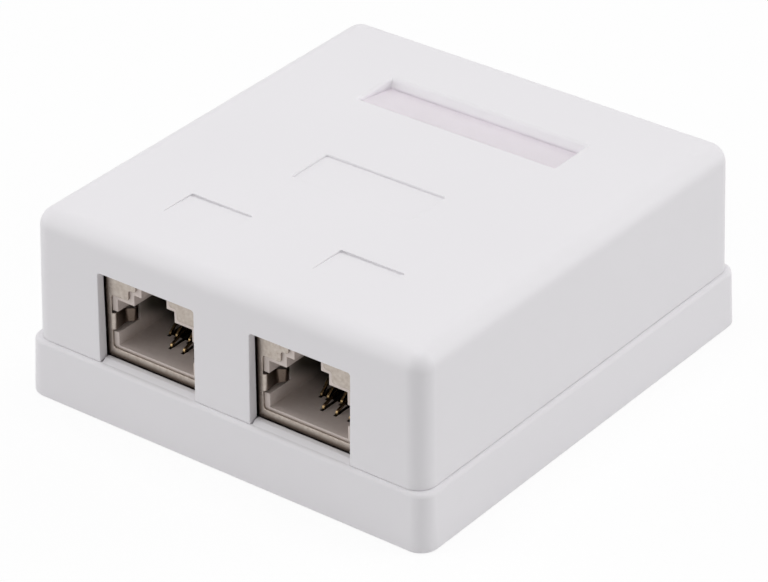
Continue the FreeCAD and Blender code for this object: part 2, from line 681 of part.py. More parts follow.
def jack_shield(x):
    outer = folded_can(x, 0, SHEET_BEND, SHEET_EDGE)
    inner = folded_can(x, SHEET, SHEET_BEND - SHEET, SHEET_EDGE - SHEET)
    half = JACK_WIDTH / 2 - SHEET - SHIELD_FLOOR_RIM
    floor_hole = box(x - half, x + half,
                     mouth_y + SHIELD_FLOOR_LENGTH, mouth_y + JACK_LENGTH - SHIELD_REAR_LIP,
                     jack_bottom - CUT, jack_bottom + SHEET + INSERT_PLAY)
    solid = outer.cut([inner, shield_mouth(x), floor_hole])
    added = []
    for _, sign in SIDES:
        added += [spring_finger(x, sign), shield_tab(x, sign, 0)]
    return solid.fuse(added).removeSplitter()


def contact_rows():
    """Place across the jack, nose, tilt, end and pin station of each contact, from the left."""
    rows = []
    for index in range(CONTACT_COUNT):
        offset = (index - (CONTACT_COUNT - 1) / 2) * CONTACT_PITCH
        if index in LONG_CONTACTS:
            rows.append((offset, LONG_NOSE, LONG_TILT, LONG_END, long_pin))
        elif index == 0:
            rows.append((offset, FIRST_NOSE, SHORT_TILT, FIRST_END, short_pin))
        else:
            rows.append((offset, SHORT_NOSE, SHORT_TILT, SHORT_END, short_pin))
    return rows


def jack_insert(x):
    half = JACK_WIDTH / 2 - SHEET - INSERT_SIDE_PLAY
    front = mouth_y + SHEET + INSERT_PLAY
    rear = mouth_y + JACK_LENGTH - SHEET - INSERT_SIDE_PLAY
    low = jack_bottom + SHEET + INSERT_PLAY
    solid = box(x - half, x + half, front, rear, low, jack_top - SHEET - INSERT_PLAY)
    solid = solid.makeChamfer(SHEET_BEND - SHEET, long_edges(solid) + edges_in_front(solid, front))
    foot_half = JACK_WIDTH / 2 - SHEET - SHIELD_FLOOR_RIM - INSERT_FOOT_PLAY
    foot = box(x - foot_half, x + foot_half, mouth_y + SHIELD_FLOOR_LENGTH + INSERT_FOOT_PLAY,
               mouth_y + JACK_LENGTH - SHIELD_REAR_LIP - INSERT_FOOT_PLAY, jack_bottom, plug_floor)
    solid = solid.fuse(foot)
    cuts = [mouth_outline(x, front - CUT, mouth_y + PLUG_LENGTH)]
    middle = jack_bottom + FINGER_RISE
    tall = FINGER_HEIGHT / 2 + FINGER_POCKET_PLAY
    pocket_x = half - FINGER_POCKET_SKIN
    cuts.append(box(x - pocket_x, x + pocket_x, front - CUT, mouth_y + FINGER_REACH + FINGER_POCKET_PLAY,
                    middle - tall, middle + tall))
    well_half = CONTACT_PITCH * (CONTACT_COUNT - 1) / 2 + WELL_SIDE
    well_low = plug_floor - WELL_DROP
    comb_front = mouth_y + comb_start
    comb_rear = mouth_y + comb_end
    well_left = x - CONTACT_PITCH * (CONTACT_COUNT - 3) / 2 - WELL_LEFT
    cuts.append(box(well_left, x + well_half, mouth_y + WELL_START, comb_front, well_low, plug_floor + CUT))
    cuts.append(box(x - well_half, x + well_half, comb_rear, rear - REAR_WALL, jack_bottom - CUT, plug_floor))
    leg = jack_bottom + CONTACT_LEG
    for offset, nose, _, _, _ in contact_rows():
        half_slot = CONTACT_WIDTH / 2 + COMB_PLAY
        half_leg = CONTACT_THICKNESS / 2 + COMB_PLAY
        cuts.append(box(x + offset - half_slot, x + offset + half_slot, comb_front - CUT,
                        comb_rear + CUT, leg - half_leg, leg + half_leg))
        cuts.append(box(x + offset - SLOT_WIDTH / 2, x + offset + SLOT_WIDTH / 2, mouth_y + nose - SLOT_PLAY,
                        comb_front, well_low, plug_floor + CUT))
    return solid.cut(cuts).removeSplitter()


def jack_contact(x, nose, tilt, end, pin):
    """Wire that runs along the floor, turns at its nose and rises towards the rear."""
    slope = math.radians(tilt)
    leg = jack_bottom + CONTACT_LEG
    corner = nose + CONTACT_THICKNESS / 2 + CONTACT_BEND - CONTACT_BEND / math.tan(slope / 2)
    rise = (end - corner) * math.tan(slope)
    path = ((pin, board_top - PIN_DROP), (pin, leg), (corner, leg), (end, leg + rise))
    return ribbon(path, (None, CONTACT_BEND), CONTACT_THICKNESS,
                  lambda u, v: V(x - CONTACT_WIDTH / 2, mouth_y + u, v), V(CONTACT_WIDTH, 0, 0))


def jack_contacts(x):
    return Part.makeCompound([jack_contact(x + offset, *shape) for offset, *shape in contact_rows()])


def strip_slots(x):
    return [x + (index - (STRIP_COUNT - 1) / 2) * STRIP_PITCH for index in range(STRIP_COUNT)]


def punch_strip(x, station):
    """Four-way strip: wires are pressed down between its teeth."""
    half = STRIP_PITCH * (STRIP_COUNT - 1) / 2 + STRIP_END
    y0 = mouth_y + station
    y1 = y0 + STRIP_DEPTH
    top = board_top + STRIP_HEIGHT
    solid = box(x - half, x + half, y0, y1, board_top, top)
    middle = (y0 + y1) / 2
    cuts = []
    for slot_x in strip_slots(x):
        narrow = STRIP_SLOT / 2
        wide = STRIP_LEAD_WIDTH / 2
        profile = ((-narrow, top - STRIP_SLOT_DEPTH), (narrow, top - STRIP_SLOT_DEPTH),
                   (narrow, top - STRIP_LEAD_DEPTH), (wide, top), (wide, top + CUT),
                   (-wide, top + CUT), (-wide, top), (-narrow, top - STRIP_LEAD_DEPTH))
        cuts.append(prism([V(slot_x + u, y0 - CUT, z) for u, z in profile], V(0, STRIP_DEPTH + 2 * CUT, 0)))
        reach = BLADE_WIDTH / 2 + BLADE_PLAY
        depth = BLADE_THICKNESS / 2 + BLADE_PLAY
        cuts.append(box(slot_x - reach, slot_x + reach, middle - depth, middle + depth,
                        board_top - CUT, top - BLADE_TOP + BLADE_PLAY))
    return solid.cut(cuts).removeSplitter()


def blade(x, y):
    """Forked blade that cuts into a wire, with a pin through the board."""
    top = board_top + STRIP_HEIGHT - BLADE_TOP
    half = BLADE_WIDTH / 2
    fork = BLADE_FORK / 2
    lead = BLADE_FORK_LEAD / 2
    pin = BLADE_PIN / 2
    foot = board_top
    end = board_top - PIN_DROP
    right = ((pin, end), (pin, foot), (half, foot), (half, top), (lead, top),
             (fork, top - BLADE_FORK_LEAD), (fork, top - BLADE_FORK_DEPTH))
    left = [(-u, z) for u, z in reversed(right)]
    points = [V(x + u, y - BLADE_THICKNESS / 2, z) for u, z in list(right) + left]
    return prism(points, V(0, BLADE_THICKNESS, 0))


def strip_blades(x, station):
    y = mouth_y + station + STRIP_DEPTH / 2
    return Part.makeCompound([blade(slot_x, y) for slot_x in strip_slots(x)])


def board_screw_points():
    """Place of each board screw and the surface under its head."""
    points = []
    for _, sign in SIDES:
        points.append((sign * board_screw_x, board_screw_front_y, board_top))
        points.append((sign * board_screw_x, board_screw_rear_y, plate_top))
    return points


def clamp_screw_points():
    points = []
    for _, sign in SIDES:
        for side in (-1, 1):
            points.append((sign * cable_x + side * clamp_screw_offset, clamp_y))
    return points


def pin_hole(x, y, pin):
    half = pin / 2 + PIN_HOLE_PLAY
    return box(x - half, x + half, y - half, y + half, board_bottom - CUT, board_top + CUT)


def circuit_board():
    solid = rounded_box(-board_x, board_x, board_front_y, board_rear_y, board_bottom, board_top, BOARD_CORNER)
    cuts = []
    for _, sign in SIDES:
        x = sign * port_x
        for offset, _, _, _, pin in contact_rows():
            cuts.append(pin_hole(x + offset, mouth_y + pin, max(CONTACT_WIDTH, CONTACT_THICKNESS)))
        for side in (-1, 1):
            cuts.append(shield_tab(x, side, TAB_HOLE_PLAY))
        for station in (strip_front_station, strip_rear_station):
            for slot_x in strip_slots(x):
                y = mouth_y + station + STRIP_DEPTH / 2
                cuts.append(pin_hole(slot_x, y, max(BLADE_PIN, BLADE_THICKNESS)))
    for x, y, _ in board_screw_points():
        cuts.append(post(x, y, board_bottom - CUT, board_top + CUT, BOARD_SCREW_SHANK + SCREW_HOLE_PLAY))
    front_x, front_y = fixing_points[0]
    cuts.append(post(front_x, front_y, board_bottom - CUT, board_top + CUT, FIXING_HEAD_HOLE))
    return solid.cut(cuts)


def earthing_plate():
    half = inner_x - PLATE_SIDE_PLAY
    rear = inner_y - PLATE_REAR_PLAY
    solid = rounded_box(-half, half, mouth_y + plate_station, rear, plate_bottom, plate_top, BOARD_CORNER)
    notch = PLATE_NOTCH / 2
    cuts = [box(-notch, notch, board_rear_y + CLAMP_GAP / 2, rear + CUT, plate_bottom - CUT, plate_top + CUT)]
    for x, y, _ in board_screw_points():
        cuts.append(post(x, y, plate_bottom - CUT, plate_top + CUT, BOARD_SCREW_SHANK + SCREW_HOLE_PLAY))
    for x, y in clamp_screw_points():
        cuts.append(post(x, y, plate_bottom - CUT, plate_top + CUT, CLAMP_SCREW_SHANK + SCREW_HOLE_PLAY))
    return solid.cut(cuts)


def cable_clamp(x):
    """Saddle of bent strip over the cable, with a foot and a screw at each side."""
    low = plate_top + CLAMP_SHEET / 2
    wall = CLAMP_BORE / 2 + CLAMP_SHEET / 2
    crown = plate_top + CLAMP_ARCH + CLAMP_SHEET / 2
    reach = clamp_screw_offset + CLAMP_SCREW_HEAD / 2 + CLAMP_FOOT_RIM
    path = ((-reach, low), (-wall, low), (-wall, crown), (wall, crown), (wall, low), (reach, low))
    arch_bend = wall * CLAMP_ROUNDNESS
    y0 = clamp_y - CLAMP_WIDTH / 2
    solid = ribbon(path, (CLAMP_FOOT_BEND, arch_bend, arch_bend, CLAMP_FOOT_BEND), CLAMP_SHEET,
                   lambda u, v: V(x + u, y0, v), V(0, CLAMP_WIDTH, 0))
    holes = []
    for side in (-1, 1):
        holes.append(post(x + side * clamp_screw_offset, clamp_y,
                          plate_top - CUT, plate_top + CLAMP_SHEET + CUT,
                          CLAMP_SCREW_SHANK + SCREW_HOLE_PLAY))
    return solid.cut(holes)


def screw(x, y, seat, tip, shank, head):
    """Pan-head screw with a cross recess, head resting at seat."""
    top = seat + SCREW_HEAD_HEIGHT
    cap = post(x, y, seat, top, head)
    cap = cap.makeChamfer(SCREW_HEAD_BEVEL, edges_at_height(cap, top))
    solid = cap.fuse(post(x, y, tip, top - SCREW_RECESS_DEPTH, shank))
    long_half = SCREW_RECESS / 2
    short_half = SCREW_RECESS_SLOT / 2
    low = top - SCREW_RECESS_DEPTH
    cross = [box(x - long_half, x + long_half, y - short_half, y + short_half, low, top + CUT),
             box(x - short_half, x + short_half, y - long_half, y + long_half, low, top + CUT)]
    return solid.cut(cross).removeSplitter()


def board_screws():
    made = []
    for x, y, seat in board_screw_points():
        made.append(screw(x, y, seat, board_bottom - SCREW_GRIP, BOARD_SCREW_SHANK, BOARD_SCREW_HEAD))
    return Part.makeCompound(made)


def clamp_screws():
    seat = plate_top + CLAMP_SHEET
    made = []
    for x, y in clamp_screw_points():
        made.append(screw(x, y, seat, plate_bottom - SCREW_GRIP, CLAMP_SCREW_SHANK, CLAMP_SCREW_HEAD))
    return Part.makeCompound(made)


def all_parts():
    parts = {
        "base": moulded_base(),
        "cover": moulded_cover(),
        "label_window": label_window(),
        "label_card": label_card(),
        "circuit_board": circuit_board(),
        "earthing_plate": earthing_plate(),
        "board_screws": board_screws(),
        "clamp_screws": clamp_screws(),
    }
    for side, sign in SIDES:
        x = sign * port_x
        parts["jack_shield_" + side] = jack_shield(x)
        parts["jack_insert_" + side] = jack_insert(x)
        parts["jack_contacts_" + side] = jack_contacts(x)
        parts["cable_clamp_" + side] = cable_clamp(sign * cable_x)
        for row, station in (("front", strip_front_station), ("rear", strip_rear_station)):
            parts["punch_strip_%s_%s" % (side, row)] = punch_strip(x, station)
            parts["strip_blades_%s_%s" % (side, row)] = strip_blades(x, station)
    return parts


os.makedirs("parts", exist_ok=True)
for name, shape in all_parts().items():
    shape.exportStep(os.path.join("parts", name + ".step"))
    print("%-26s solids %d, valid %s, %.2f mm3" % (name, len(shape.Solids), shape.isValid(), shape.Volume))
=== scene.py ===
"""Looks of a white surface mount box with two shielded network jacks.

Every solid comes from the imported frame.  The mouldings and the pressed metal get
eased edges, each surface gets its finish, and the board gets its tracks.
"""

import json
import math

import bmesh
import bpy
from bpy.props import FloatProperty, FloatVectorProperty, PointerProperty
from mathutils import Matrix, Vector


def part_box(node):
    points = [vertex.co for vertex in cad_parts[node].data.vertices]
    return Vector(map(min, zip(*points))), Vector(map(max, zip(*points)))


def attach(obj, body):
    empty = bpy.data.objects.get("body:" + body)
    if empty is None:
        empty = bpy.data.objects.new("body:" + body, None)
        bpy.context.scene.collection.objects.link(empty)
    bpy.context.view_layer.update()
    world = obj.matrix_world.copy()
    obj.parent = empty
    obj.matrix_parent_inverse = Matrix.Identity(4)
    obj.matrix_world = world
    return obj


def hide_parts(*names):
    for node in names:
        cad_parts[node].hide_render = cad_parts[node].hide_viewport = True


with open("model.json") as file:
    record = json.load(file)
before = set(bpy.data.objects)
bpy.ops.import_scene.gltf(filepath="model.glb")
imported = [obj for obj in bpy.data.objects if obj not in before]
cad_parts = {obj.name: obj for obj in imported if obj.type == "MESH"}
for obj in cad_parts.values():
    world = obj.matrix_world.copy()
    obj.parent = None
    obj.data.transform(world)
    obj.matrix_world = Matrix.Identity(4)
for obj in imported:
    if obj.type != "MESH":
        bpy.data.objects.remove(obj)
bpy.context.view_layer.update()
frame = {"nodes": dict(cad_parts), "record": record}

bl_info = {
    "name": "Surface Mount Jack Box",
    "version": (1, 0, 0),
    "blender": (4, 5, 0),
    "location": "3D View > Sidebar > Jack Box",
    "description": "Finishes, board tracks, camera and light of a two-port jack box",
    "category": "Object",
}

MM = 0.001
SIDES = ("left", "right")
ROWS = ("front", "rear")
BODY_OF = {
    node: body
    for body, nodes in frame["record"]["behaviour"]["bodies"].items()
    for node in nodes
}

# Merging and easing of the copied solids: an edge is eased where both faces beside it are more than
# EASE_ROOM times as wide as the ease
MERGE_DISTANCE = 0.001 * MM
FLAT_ANGLE = math.radians(0.2)
SHARP_ANGLE = math.radians(32)
EASE_SEGMENTS = 2
RIM_SEGMENTS = 4
EASE_ROOM = 2

# Rounded rims of the recesses in the top of the cover: front and rear limit, and width
LABEL_RIM = (13.0 * MM, 22.0 * MM, 0.4 * MM)
PANEL_RIM = (-8.0 * MM, 0.3 * MM, 0.22 * MM)

# Where shade is painted on a jack's insert, behind the mouth of the jack: from start to end on the
# floor of the insert, and on the walls sooner by the lead from that rise upwards
SHADE_START = 6.5 * MM
SHADE_END = 11.5 * MM
SHADE_RISE = 3.5 * MM
SHADE_LEAD = 4.6 * MM
WELL_LIP = 2.0 * MM

# Where shade and dark reflection are painted on a shield: the side folds from the middle of a jack, the
# foot fold above its underside, and both folds and the spring leaves behind its mouth
FOLD_START = 6.7 * MM
FOLD_END = 7.35 * MM
FOOT_START = 1.9 * MM
FOOT_END = 1.0 * MM
FOLD_DEPTH = 1.3 * MM
LEAF_DEPTH = 2.0 * MM

# How far rolling draws out the lines of a sheet: their scale along it, against 1 across it
STRIP_ROLLING = 0.06
SHEET_ROLLING = 0.08

# Tracks on the circuit board
TRACK_COUNT = 8
TRACK_PITCH = 1.27 * MM
TRACK_FAN = 1.6
TRACK_LAP = 1.0 * MM
TRACK_SUNK = 0.01 * MM

# Width of the camera's sensor, in millimetres as Blender takes it
SENSOR_WIDTH = 36


def colour(code):
    """Linear colour of an sRGB hex code, with full alpha."""
    parts = [int(code[place:place + 2], 16) / 255 for place in (0, 2, 4)]
    linear = [part / 12.92 if part <= 0.04045 else ((part + 0.055) / 1.055) ** 2.4
              for part in parts]
    return (*linear, 1.0)


def per_metre(period):
    """Texture scale whose features are about that many millimetres across."""
    return 1 / (period * MM)


def add_node(tree, kind, inputs=(), **settings):
    """One shader node: inputs gives a value or a linked socket by socket name or number."""
    made = tree.nodes.new(kind)
    for name, value in settings.items():
        setattr(made, name, value)
    for name, value in dict(inputs).items():
        if isinstance(value, bpy.types.NodeSocket):
            tree.links.new(value, made.inputs[name])
        else:
            made.inputs[name].default_value = value
    return made


def new_material(name):
    """Empty node material of that name, and its tree."""
    material = bpy.data.materials.new(name)
    material.use_nodes = True
    material.node_tree.nodes.clear()
    return material, material.node_tree


def moulded_abs():
    """White ABS, injection moulded in a spark-eroded tool."""
    settings = bpy.context.scene.jack_box_housing
    material, tree = new_material("moulded_white_abs")
    place = add_node(tree, "ShaderNodeTexCoord").outputs["Object"]
    # The flow of the melt leaves the white a trace unevenly shaded over a few centimetres.
    flow = add_node(tree, "ShaderNodeTexNoise", {
        "Vector": place, "Scale": per_metre(24), "Detail": 1.0,
    })
    tint = add_node(tree, "ShaderNodeMix", {
        "Factor": flow.outputs["Fac"], "A": settings.white[:], "B": settings.white_shade[:],
    }, data_type="RGBA")
    # The eroded tool leaves a satin grain, drawn at 0.35 mm because the real 0.1 mm would not show.
    grain = add_node(tree, "ShaderNodeTexNoise", {
        "Vector": place, "Scale": per_metre(0.35), "Detail": 2.0,
    })
    # Shrinkage over the ribs makes very shallow waves in the flat walls.
    waves = add_node(tree, "ShaderNodeTexNoise", {
        "Vector": place, "Scale": per_metre(9), "Detail": 0.0,
    })
    wave_bump = add_node(tree, "ShaderNodeBump", {
        "Height": waves.outputs["Fac"], "Strength": 0.25, "Distance": 0.04 * MM,
    })
    bump = add_node(tree, "ShaderNodeBump", {
        "Height": grain.outputs["Fac"], "Strength": 0.12, "Distance": 0.01 * MM,
        "Normal": wave_bump.outputs["Normal"],
    })
    gloss = add_node(tree, "ShaderNodeMapRange", {
        "Value": grain.outputs["Fac"], "To Min": 0.5, "To Max": 0.62,
    })
    shader = add_node(tree, "ShaderNodeBsdfPrincipled", {
        "Base Color": tint.outputs["Result"], "Roughness": gloss.outputs["Result"],
        "Normal": bump.outputs["Normal"], "IOR": 1.54,
    })
    add_node(tree, "ShaderNodeOutputMaterial", {"Surface": shader.outputs["BSDF"]})
    return material


def clear_styrene():
    """Clear polystyrene sheet: a thin glossy cover over the label."""
    material, tree = new_material("clear_moulded_styrene")
    # A thin flat sheet shifts nothing that is seen through it, so light goes straight on, and it
    # mirrors more at a slant.
    through = add_node(tree, "ShaderNodeBsdfTransparent", {"Color": colour("FEFDFE")})
    mirror = add_node(tree, "ShaderNodeBsdfPrincipled", {
        "Base Color": colour("FFFFFF"), "Metallic": 1.0, "Roughness": 0.15,
    })
    slant = add_node(tree, "ShaderNodeLayerWeight", {"Blend": 0.5})
    share = add_node(tree, "ShaderNodeMath", {0: slant.outputs["Facing"], 1: 4.0}, operation="POWER")
    mixed = add_node(tree, "ShaderNodeMixShader", {
        "Fac": share.outputs["Value"], 1: through.outputs["BSDF"], 2: mirror.outputs["BSDF"],
    })
    add_node(tree, "ShaderNodeOutputMaterial", {"Surface": mixed.outputs["Shader"]})
    return material


def label_paper():
    """Uncoated white card, cut to size."""
    material, tree = new_material("uncoated_label_card")
    place = add_node(tree, "ShaderNodeTexCoord").outputs["Object"]
    # Paper fibres give a soft mottle, drawn at 0.5 mm so that it shows.
    fibres = add_node(tree, "ShaderNodeTexNoise", {
        "Vector": place, "Scale": per_metre(0.5), "Detail": 3.0,
    })
    tint = add_node(tree, "ShaderNodeMix", {
        "Factor": fibres.outputs["Fac"], "A": colour("FBF6FA"), "B": colour("F5EFF4"),
    }, data_type="RGBA")
    bump = add_node(tree, "ShaderNodeBump", {
        "Height": fibres.outputs["Fac"], "Strength": 0.2, "Distance": 0.01 * MM,
    })
    shader = add_node(tree, "ShaderNodeBsdfPrincipled", {
        "Base Color": tint.outputs["Result"], "Roughness": 0.9,
        "Normal": bump.outputs["Normal"], "IOR": 1.5,
    })
    add_node(tree, "ShaderNodeOutputMaterial", {"Surface": shader.outputs["BSDF"]})
    return material


def painted_fold_shade(tree, place):
    """Socket that is 1 where shade and dark reflection are painted: round the mouth and on the leaves.
    """
    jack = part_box("jack_shield_right")
    mouth = jack[0].y
    middle = (jack[0].x + jack[1].x) / 2
    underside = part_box("circuit_board")[1].z
    spot = add_node(tree, "ShaderNodeSeparateXYZ", {"Vector": place})
    # Both jacks are as far from the middle of the box, so one distance to a jack's middle serves both.
    outward = add_node(tree, "ShaderNodeMath", {0: spot.outputs["X"]}, operation="ABSOLUTE")
    offset = add_node(tree, "ShaderNodeMath", {0: outward.outputs["Value"], 1: middle},
                      operation="SUBTRACT")
    aside = add_node(tree, "ShaderNodeMath", {0: offset.outputs["Value"]}, operation="ABSOLUTE")
    side_fold = add_node(tree, "ShaderNodeMapRange", {
        "Value": aside.outputs["Value"], "From Min": FOLD_START, "From Max": FOLD_END,
    }, interpolation_type="SMOOTHSTEP")
    below = add_node(tree, "ShaderNodeMath", {0: underside, 1: spot.outputs["Z"]},
                     operation="SUBTRACT")
    foot_fold = add_node(tree, "ShaderNodeMapRange", {
        "Value": below.outputs["Value"], "From Min": -FOOT_START, "From Max": -FOOT_END,
    }, interpolation_type="SMOOTHSTEP")
    either_fold = add_node(tree, "ShaderNodeMath", {
        0: side_fold.outputs["Result"], 1: foot_fold.outputs["Result"],
    }, operation="MAXIMUM")
    at_front = add_node(tree, "ShaderNodeMath", {0: spot.outputs["Y"], 1: mouth + FOLD_DEPTH},
                        operation="LESS_THAN")
    fold = add_node(tree, "ShaderNodeMath", {
        0: either_fold.outputs["Value"], 1: at_front.outputs["Value"],
    }, operation="MULTIPLY")
    behind = add_node(tree, "ShaderNodeMapRange", {
        "Value": spot.outputs["Y"], "From Min": mouth, "From Max": mouth + LEAF_DEPTH,
    }, interpolation_type="SMOOTHSTEP")
    inside = add_node(tree, "ShaderNodeMath", {0: aside.outputs["Value"], 1: FOLD_START},
                      operation="LESS_THAN")
    leaf = add_node(tree, "ShaderNodeMath", {
        0: behind.outputs["Result"], 1: inside.outputs["Value"],
    }, operation="MULTIPLY")
    fold_and_leaf_shade = add_node(tree, "ShaderNodeMath", {
        0: fold.outputs["Value"], 1: leaf.outputs["Value"],
    }, operation="MAXIMUM")
    return fold_and_leaf_shade.outputs["Value"]


def nickel_sheet():
    """Copper alloy strip, nickel plated, blanked and folded."""
    settings = bpy.context.scene.jack_box_jacks
    material, tree = new_material("nickel_plated_strip")
    place = add_node(tree, "ShaderNodeTexCoord").outputs["Object"]
    # Rolling draws fine lines along the strip, which runs across the jacks.
    along = add_node(tree, "ShaderNodeMapping", {"Vector": place, "Scale": (STRIP_ROLLING, 1, 1)})
    lines = add_node(tree, "ShaderNodeTexNoise", {
        "Vector": along.outputs["Vector"], "Scale": per_metre(0.12), "Detail": 2.0,
    })
    # The plating is a little uneven and warm where the alloy shows through; shade is painted at the
    # bends.
    mottle = add_node(tree, "ShaderNodeTexNoise", {
        "Vector": place, "Scale": per_metre(0.45), "Detail": 3.0,
    })
    plated = add_node(tree, "ShaderNodeMix", {
        "Factor": mottle.outputs["Fac"], "A": settings.nickel[:], "B": settings.nickel_warm[:],
    }, data_type="RGBA")
    # Shade and dark reflection are painted on the folds round the mouth and on the spring leaves.
    tint = add_node(tree, "ShaderNodeMix", {
        "Factor": painted_fold_shade(tree, place), "A": plated.outputs["Result"], "B": settings.fold_shade[:],
    }, data_type="RGBA")
    gloss = add_node(tree, "ShaderNodeMapRange", {
        "Value": lines.outputs["Fac"], "To Min": 0.2, "To Max": 0.42,
    })
    bump = add_node(tree, "ShaderNodeBump", {
        "Height": lines.outputs["Fac"], "Strength": 0.15, "Distance": 0.01 * MM,
    })
    shader = add_node(tree, "ShaderNodeBsdfPrincipled", {
        "Base Color": tint.outputs["Result"], "Metallic": 1.0,
        "Roughness": gloss.outputs["Result"], "Normal": bump.outputs["Normal"],
    })
    add_node(tree, "ShaderNodeOutputMaterial", {"Surface": shader.outputs["BSDF"]})
    return material


def painted_depth_shade(tree, place):
    """Socket that is 1 where shade is painted on the insert: deep in the mouth, and the well under the
    wires.
    """
    floor = bpy.context.scene.jack_box_jacks.well_level
    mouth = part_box("jack_shield_left")[0].y
    spot = add_node(tree, "ShaderNodeSeparateXYZ", {"Vector": place})
    above_floor = add_node(tree, "ShaderNodeMapRange", {
        "Value": spot.outputs["Z"], "From Min": floor, "From Max": floor + SHADE_RISE,
    }, interpolation_type="SMOOTHSTEP")
    depth = add_node(tree, "ShaderNodeMath", {
        0: above_floor.outputs["Result"], 1: SHADE_LEAD, 2: spot.outputs["Y"],
    }, operation="MULTIPLY_ADD")
    deep = add_node(tree, "ShaderNodeMapRange", {
        "Value": depth.outputs["Value"],
        "From Min": mouth + SHADE_START, "From Max": mouth + SHADE_END,
    }, interpolation_type="SMOOTHSTEP")
    behind_lip = add_node(tree, "ShaderNodeMath", {0: spot.outputs["Y"], 1: mouth + WELL_LIP},
                          operation="GREATER_THAN")
    low = add_node(tree, "ShaderNodeMath", {0: spot.outputs["Z"], 1: floor}, operation="LESS_THAN")
    well_shade = add_node(tree, "ShaderNodeMath", {
        0: behind_lip.outputs["Value"], 1: low.outputs["Value"],
    }, operation="MULTIPLY")
    depth_shade = add_node(tree, "ShaderNodeMath", {
        0: deep.outputs["Result"], 1: well_shade.outputs["Value"],
    }, operation="MAXIMUM")
    return depth_shade.outputs["Value"]


def moulded_pbt():
    """Natural PBT, glass filled: the light grey body inside a jack."""
    settings = bpy.context.scene.jack_box_jacks
    material, tree = new_material("glass_filled_pbt")
    place = add_node(tree, "ShaderNodeTexCoord").outputs["Object"]
    # Glass fibres near the surface make pale flecks under a millimetre long.
    flecks = add_node(tree, "ShaderNodeTexNoise", {
        "Vector": place, "Scale": per_metre(0.6), "Detail": 3.0,
    })
    plain = add_node(tree, "ShaderNodeMix", {
        "Factor": flecks.outputs["Fac"], "A": settings.insert[:], "B": settings.insert_shade[:],
    }, data_type="RGBA")
    # Painted shade darkens the insert deep in the mouth and in the well under the wires.
    tint = add_node(tree, "ShaderNodeMix", {
        "Factor": painted_depth_shade(tree, place), "A": plain.outputs["Result"], "B": settings.depth_shade[:],
    }, data_type="RGBA")
    bump = add_node(tree, "ShaderNodeBump", {
        "Height": flecks.outputs["Fac"], "Strength": 0.12, "Distance": 0.01 * MM,
    })
    shader = add_node(tree, "ShaderNodeBsdfPrincipled", {
        "Base Color": tint.outputs["Result"], "Roughness": 0.5,
        "Normal": bump.outputs["Normal"], "IOR": 1.57,
    })
    add_node(tree, "ShaderNodeOutputMaterial", {"Surface": shader.outputs["BSDF"]})
    return material


def gold_wire():
    """Phosphor bronze wire, gold plated where the plug touches it."""
    material, tree = new_material("gold_plated_wire")
    place = add_node(tree, "ShaderNodeTexCoord").outputs["Object"]
    # Drawing leaves faint lines and thin plating, so the gold shifts towards bronze in patches.
    wear = add_node(tree, "ShaderNodeTexNoise", {
        "Vector": place, "Scale": per_metre(0.8), "Detail": 2.0,
    })
    tint = add_node(tree, "ShaderNodeMix", {
        "Factor": wear.outputs["Fac"], "A": colour("9A8360"), "B": colour("786748"),
    }, data_type="RGBA")
    gloss = add_node(tree, "ShaderNodeMapRange", {
        "Value": wear.outputs["Fac"], "To Min": 0.18, "To Max": 0.32,
    })
    shader = add_node(tree, "ShaderNodeBsdfPrincipled", {
        "Base Color": tint.outputs["Result"], "Metallic": 1.0, "Roughness": gloss.outputs["Result"],
    })
    add_node(tree, "ShaderNodeOutputMaterial", {"Surface": shader.outputs["BSDF"]})
    return material


def masked_laminate():
    """Glass-epoxy laminate under a green solder mask."""
    settings = bpy.context.scene.jack_box_board
    material, tree = new_material("solder_masked_laminate")
    place = add_node(tree, "ShaderNodeTexCoord").outputs["Object"]
    # The glass cloth shows through the mask as a fine square weave, 0.5 mm from thread to thread.
    warp = add_node(tree, "ShaderNodeTexWave", {
        "Vector": place, "Scale": per_metre(0.5) / (2 * math.pi), "Distortion": 0.6,
    }, bands_direction="X")
    weft = add_node(tree, "ShaderNodeTexWave", {
        "Vector": place, "Scale": per_metre(0.5) / (2 * math.pi), "Distortion": 0.6,
    }, bands_direction="Y")
    cloth = add_node(tree, "ShaderNodeMath", {0: warp.outputs["Fac"], 1: weft.outputs["Fac"]},
                     operation="MULTIPLY")
    tint = add_node(tree, "ShaderNodeMix", {
        "Factor": cloth.outputs["Value"], "A": settings.mask[:], "B": settings.mask_light[:],
    }, data_type="RGBA")
    bump = add_node(tree, "ShaderNodeBump", {
        "Height": cloth.outputs["Value"], "Strength": 0.1, "Distance": 0.01 * MM,
    })
    shader = add_node(tree, "ShaderNodeBsdfPrincipled", {
        "Base Color": tint.outputs["Result"], "Roughness": 0.28,
        "Normal": bump.outputs["Normal"], "IOR": 1.55, "Coat Weight": 0.4, "Coat Roughness": 0.12,
    })
    add_node(tree, "ShaderNodeOutputMaterial", {"Surface": shader.outputs["BSDF"]})
    return material


def masked_copper():
    """Copper tracks under the same solder mask, which lie a shade lighter and a little proud."""
    settings = bpy.context.scene.jack_box_board
    material, tree = new_material("solder_masked_copper")
    place = add_node(tree, "ShaderNodeTexCoord").outputs["Object"]
    # Etched copper is uneven at about a millimetre, and the mask follows it.
    etch = add_node(tree, "ShaderNodeTexNoise", {
        "Vector": place, "Scale": per_metre(1.0), "Detail": 2.0,
    })
    tint = add_node(tree, "ShaderNodeMix", {
        "Factor": etch.outputs["Fac"], "A": settings.track[:], "B": settings.mask_light[:],
    }, data_type="RGBA")
    shader = add_node(tree, "ShaderNodeBsdfPrincipled", {
        "Base Color": tint.outputs["Result"], "Roughness": 0.3, "IOR": 1.55,
        "Coat Weight": 0.4, "Coat Roughness": 0.12,
    })
    add_node(tree, "ShaderNodeOutputMaterial", {"Surface": shader.outputs["BSDF"]})
    return material


